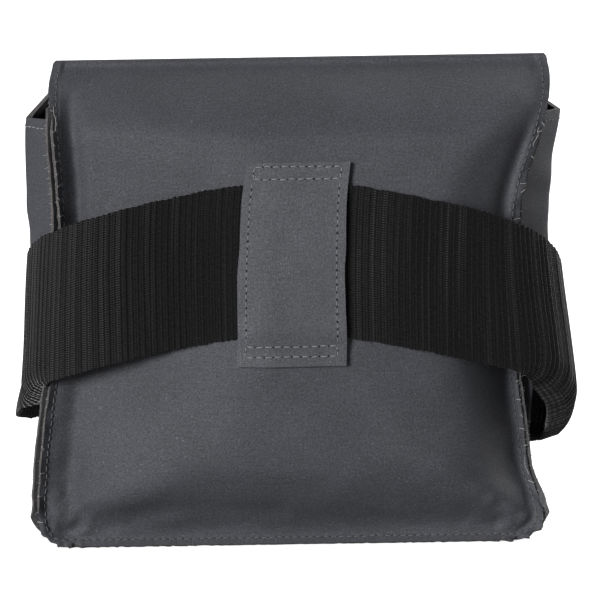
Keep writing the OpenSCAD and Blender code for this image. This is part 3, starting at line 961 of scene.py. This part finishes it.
def outwards(root, up):
    """Away from the middle of the bag, seen from behind."""
    flat = (root - MIDDLE) * [1, 0, 1]
    return unit(flat) * [1, 0, 0.35] + up * 0.5


def fibres(line, seed, spacing, length):
    """Short pale fibres that stand out of a cut edge."""
    sample, count, pitch = even_line(*line, spacing)
    rng = np.random.default_rng(seed)
    s = (np.arange(count) + rng.uniform(0, 1, count)) * pitch
    root, up = sample(s)
    way = unit(outwards(root, up) + rng.normal(0, 0.6, (count, 3)))
    curl = unit(rng.normal(0, 1, (count, 3)))
    reach = length * rng.uniform(0.35, 1.0, count) ** 1.3
    t = np.linspace(0, 1, 5)
    paths = root[:, None] + way[:, None] * (reach[:, None] * t)[..., None]
    paths = paths + curl[:, None] * (0.35 * reach[:, None] * t**2)[..., None]
    radii = 0.10 * (1 - 0.45 * t) * rng.uniform(0.7, 1.3, (count, 1))
    return [(paths, np.broadcast_to(curl[:, None], paths.shape) + 0.01, radii, 0)]


def tack(sheet, side, z, inset, beyond, seed):
    """A short pale thread end that crosses a seam's raw edge at height z."""
    rng = np.random.default_rng(seed)
    edge = float(open_edge(np.array(z)))
    t = np.linspace(0, 1, 7)
    x = side * (edge - inset + (inset - 0.15) * t)
    place, up = trace(sheet, x, z + rng.uniform(-0.6, 0.6) * t)
    way = unit(place[-1] - place[-2])
    tail = place[-1] + way * (beyond * np.array([0.4, 1.0]))[:, None]
    path = np.concatenate([place + up * 0.25, tail + up[-1] * np.array([[0.25], [0.0]])])
    ups = np.concatenate([up, up[-1:], up[-1:]])
    return [(path[None], ups[None], np.full((1, 9), 0.12), 0)]


def loose_thread(sheet, side, low, high, inset, seed):
    """A slack thread that wanders along a seam between two heights."""
    z = np.arange(low, high, 0.5)
    at = np.stack([z, 0 * z], -1)
    x = side * (open_edge(z) - inset + 0.4 * wander(at, seed, 5, 2))
    place, up = trace(sheet, x, z)
    path = place + up * (0.30 + 0.2 * wander(at, seed + 1, 4, 1))[:, None]
    return [(path[None], up[None], np.full((1, len(z)), 0.09), 0)]


def seam_line(inset, bottom, radius, top, step=0.8):
    """Plan x, z of a line inset from a panel's raw edge: down the left, along, up the right."""
    z = np.arange(bottom + radius, top, step)
    r = radius - inset
    turn = np.linspace(-math.pi / 2, 0, 16)[:-1]
    centre_x = float(open_edge(np.array(bottom + radius))) - radius
    x = np.concatenate([centre_x + r * np.cos(turn), open_edge(z) - inset])
    z = np.concatenate([bottom + radius + r * np.sin(turn), z])
    low = np.linspace(-centre_x, centre_x, 120)[1:-1]
    flat = np.full(len(low), bottom + inset)
    return np.concatenate([-x[::-1], low, x]), np.concatenate([z[::-1], flat, z])


def build_shell(sheet):
    piece = cloth_piece("pouch_back_and_flap", sheet, CLOTH_T, [CLOTH, LIT_INSIDE, EDGE])
    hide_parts("back_panel", "flap")
    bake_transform(piece)


def on_pouch(piece, slot, *nodes):
    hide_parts(*nodes)
    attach(piece, "pouch")
    return piece


def build_front(sheet):
    hem = 1 + 0.8 * ease((np.arange(len(sheet.plan_z)) - len(sheet.plan_z) + 5) / 2)[:, None]
    piece = cloth_piece("pouch_front", sheet, CLOTH_T * hem, [CLOTH, LIT_INSIDE, EDGE])
    on_pouch(piece, "coated_cloth", "front_panel")


def build_gusset(sheet):
    rows, cols = sheet.points.shape[:2]
    from_end = np.minimum(np.arange(rows), rows - 1 - np.arange(rows))[:, None]
    from_side = np.minimum(np.arange(cols), cols - 1 - np.arange(cols)) - sheet.flange_cols
    hem = 1 + 0.9 * ease((4 - from_end) / 2) * ease(from_side / 3)
    piece = cloth_piece("pouch_gusset", sheet, CLOTH_T * hem, [CLOTH, LIT_INSIDE, EDGE])
    on_pouch(piece, "coated_cloth", "gusset_left", "gusset_right", "gusset_bottom")


def build_loop(outer, lining):
    piece = cloth_piece("loop_outer", outer, LAYER_T, [LOOP_CLOTH, LOOP_CLOTH, LOOP_EDGE])
    on_pouch(piece, "loop_cloth", "belt_loop_outer")
    under = cloth_piece("loop_lining", lining, LAYER_T, [LOOP_CLOTH, LOOP_CLOTH, LOOP_EDGE])
    on_pouch(under, "loop_cloth", "belt_loop_lining")


def build_band(sheet):
    piece = cloth_piece("elastic_band", sheet, BAND_T - 0.1, [ELASTIC, LIT_ELASTIC_INSIDE, ELASTIC_EDGE])
    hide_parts("elastic_band_back", "elastic_band_front")
    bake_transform(piece)


def thread_piece(name, node, parts, thread=THREAD):
    piece = bundle(name, parts, [thread, HOLE_SHADE])
    on_pouch(piece, "thread", node)
    return piece


def build_seam_rows(shell, front):
    x, z = seam_line(STITCH_INSET, 0.0, CORNER_R, FOLD_Z)
    row = stitches(trace(shell, x, z), 201, 0.21, hole=0.2)
    thread_piece("back_seam_stitches", "back_seam_thread", row, SEAM_THREAD)
    x, z = seam_line(STITCH_INSET, 0.0, CORNER_R, MOUTH_Z - 1)
    row = stitches(trace(front, x, z), 202, 0.21, hole=0.2)
    thread_piece("front_seam_stitches", "front_seam_thread", row, SEAM_THREAD)


def build_flap_row(shell):
    x, z = seam_line(STITCH_INSET, FLAP_END_Z, FLAP_CORNER_R, FOLD_Z - 0.5)
    unrolled = 2 * FOLD_Z + math.pi - z
    piece = bundle("flap_edge_stitches", stitches(trace(shell, x, unrolled), 203), [THREAD, HOLE_SHADE])
    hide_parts("flap_edge_thread")
    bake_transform(piece)


def build_hem_rows(front, gusset):
    x = np.linspace(-74, 74, 150)
    line = trace(front, x, np.full(150, MOUTH_Z - 3.0))
    thread_piece("front_hem_stitches", "front_hem_thread", stitches(line, 204))
    rows, cols = gusset.points.shape[:2]
    first, last = gusset.flange_cols + 1.0, cols - gusset.flange_cols - 2.0
    col = np.linspace(first, last, 120)
    for name, row in (("left", 2.2), ("right", rows - 3.2)):
        line = gusset.at(np.full(120, row), col)
        node = f"gusset_{name}_hem_thread"
        thread_piece(f"gusset_{name}_hem_stitches", node, stitches(line, 205 + int(row)))


def loop_line(outer, x, z):
    """Points and normals on the loop's outer layer at its own x, z."""
    rows, cols = outer.points.shape[:2]
    row = (z - LOOP_LOW[2]) / (2 * LOOP_HALF_H) * (rows - 1)
    col = (x + LOOP_HALF_W) / (2 * LOOP_HALF_W) * (cols - 1)
    return outer.at(row, col)


def build_loop_rows(outer):
    inset = 2.8
    half = LOOP_HALF_W - inset

    def box(low, high, seed):
        parts = []
        for z in (low, high):
            x = np.linspace(-half, half, 60)
            row = loop_line(outer, x, np.full(60, z))
            parts += stitches(row, seed + int(z), 0.23, 0.78, 0.13, 2.9, 0.3)
        for x in (-half, half):
            z = np.linspace(low, high, 12)
            row = loop_line(outer, np.full(12, x), z)
            parts += stitches(row, seed + int(x), 0.21, 0.78, 0.12, 2.0, 0.26)
        return parts

    top, bottom = LOOP_HIGH[2], LOOP_LOW[2]
    thread_piece("loop_top_stitches", "belt_loop_top_thread", box(top - 5.3, top - 1.3, 300))
    thread_piece("loop_bottom_stitches", "belt_loop_bottom_thread", box(bottom + 3.3, bottom + 6.7, 330))
    sides = []
    for x in (-half, half):
        z = np.linspace(bottom + 7.6, top - 6.2, 120)
        row = loop_line(outer, np.full(120, x), z)
        sides += stitches(row, 360 + int(x), 0.15, 0.62, 0.03, 2.45, 0.34)
    thread_piece("loop_side_stitches", "belt_loop_side_thread", sides)


def build_join(band):
    """Two rows across the elastic behind the loop, either side of where its ends meet."""
    cols = band.points.shape[1]
    parts = []
    for side in (-1, 1):
        place = (side * JOIN_SHARE) % 1.0 * (cols - 1)
        line = band.at(np.linspace(2, 24, 80), np.full(80, place))
        parts += stitches(line, 400 + 5 * side, 0.2, 0.8, 0.02, hole=0)
    thread_piece("band_join_stitches", "band_join_thread", parts)


def edge_line(sheet, rows, cols, depth):
    points, normals = sheet.at(rows, cols)
    return points - normals * depth, normals


def build_fibres(shell, gusset):
    """Frayed ends along the cut edges, which nothing binds."""
    parts = []
    back_rows = np.linspace(1, 140, 300)
    last = shell.points.shape[1] - 1.001
    for seed, col in ((501, 0.0), (502, last)):
        line = edge_line(shell, back_rows, np.full(300, col), 0.5)
        parts += fibres(line, seed, 2.3, 1.1)
    rows = np.linspace(2, gusset.points.shape[0] - 3, 500)
    line = edge_line(gusset, rows, np.zeros(500), 0.5)
    parts += fibres(line, 504, 2.0, 1.3)
    piece = bundle("frayed_edges", parts, [PALE_THREAD], sides=4)
    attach(piece, "pouch")


LEFT_TACKS = (147, 141, 136, 131, 127, 123, 118, 113, 108, 104, 34, 26, 18, 9)
RIGHT_TACKS = (141, 138, 130, 121, 118, 109, 104, 59, 52, 46, 41, 36, 30, 19)


def build_loose_threads(shell):
    """Thread ends that the machine left across and along the open seams."""
    parts = []
    for side, heights in ((-1, LEFT_TACKS), (1, RIGHT_TACKS)):
        for number, z in enumerate(heights):
            inset = 1.6 if number % 2 else 0.6
            parts += tack(shell, side, z, inset, 1.3 - 0.5 * inset, 600 + z)
    parts += loose_thread(shell, -1, 141, 149, 1.2, 651)
    parts += loose_thread(shell, 1, 133, 140, 1.4, 653)
    parts += loose_thread(shell, 1, 21, 27, 0.8, 655)
    piece = bundle("loose_thread_ends", parts, [PALE_THREAD])
    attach(piece, "pouch")


def build_bag():
    shell = shell_sheet()
    front = front_sheet()
    gusset = gusset_sheet()
    lining = loop_sheet(LAYER_T, 111)
    outer = loop_sheet(2 * LAYER_T + 0.12, 111)
    band = band_sheet()
    build_shell(shell)
    build_front(front)
    build_gusset(gusset)
    build_loop(outer, lining)
    build_band(band)
    build_seam_rows(shell, front)
    build_flap_row(shell)
    build_hem_rows(front, gusset)
    build_loop_rows(outer)
    build_join(band)
    build_fibres(shell, gusset)
    build_loose_threads(shell)


# Floor, light and camera
def build_stage():
    size = 6.0
    corners = [(-size, -size, 0), (size, -size, 0), (size, size, 0), (-size, size, 0)]
    mesh = bpy.data.meshes.new("floor")
    mesh.from_pydata([Vector(c) - Vector((0, 0, 0.0001)) for c in corners], [], [(0, 1, 2, 3)])
    mesh.materials.append(plain_floor("floor"))
    floor = bpy.data.objects.new("floor", mesh)
    bpy.context.scene.collection.objects.link(floor)


def aim(thing, place, target):
    thing.location = place
    thing.rotation_mode = "QUATERNION"
    thing.rotation_quaternion = (Vector(target) - Vector(place)).to_track_quat("-Z", "Y")


def soft_sun(name, place, angle, strength):
    light = bpy.data.lights.new(name, "SUN")
    light.angle = math.radians(angle)
    light.energy = strength
    lamp = bpy.data.objects.new(name, light)
    bpy.context.scene.collection.objects.link(lamp)
    aim(lamp, place, (0, 0, 0))


def by_ray(tree, seen, unseen):
    """A number that is one thing for what the camera sees and another for bounced light."""
    rays = tree.nodes.new("ShaderNodeLightPath")
    level = tree.nodes.new("ShaderNodeMapRange")
    level.inputs["To Min"].default_value = unseen
    level.inputs["To Max"].default_value = seen
    tree.links.new(rays.outputs["Is Camera Ray"], level.inputs["Value"])
    return level.outputs["Result"]


def build_light():
    world = bpy.data.worlds.new("studio")
    bpy.context.scene.world = world
    world.use_nodes = True
    tree = world.node_tree
    sky = tree.nodes["Background"]
    sky.inputs["Color"].default_value = (1, 1, 1, 1)
    tree.links.new(by_ray(tree, 1.0, 0.16), sky.inputs["Strength"])
    soft_sun("key", (-0.60, -0.79, 0.25), 22, 4.0)
    soft_sun("fill", (0.80, -0.60, 0.12), 90, 0.12)
    soft_sun("side", (0.86, 0.50, 0.15), 40, 1.3)
    soft_sun("top", (-0.1, 0.1, 1.0), 60, 0.15)
    soft_sun("behind", (0.55, 0.85, 0.55), 40, 3.0)


def build_camera():
    camera = bpy.data.cameras.new("camera")
    camera.sensor_width = 36.0
    camera.lens = 177.0
    lens = bpy.data.objects.new("camera", camera)
    bpy.context.scene.collection.objects.link(lens)
    target = Vector((2.9 * MM, -30 * MM, 84.4 * MM))
    distance, elevation = 0.975, math.radians(8)
    place = target + Vector((0, -math.cos(elevation), math.sin(elevation))) * distance
    aim(lens, place, target)
    roll = math.radians(-0.9)
    lens.rotation_quaternion = lens.rotation_quaternion @ Quaternion((0, 0, 1), roll)
    bpy.context.scene.camera = lens


build_camera()
build_bag()
build_stage()
build_light()
bpy.context.scene.view_settings.view_transform = "Standard"
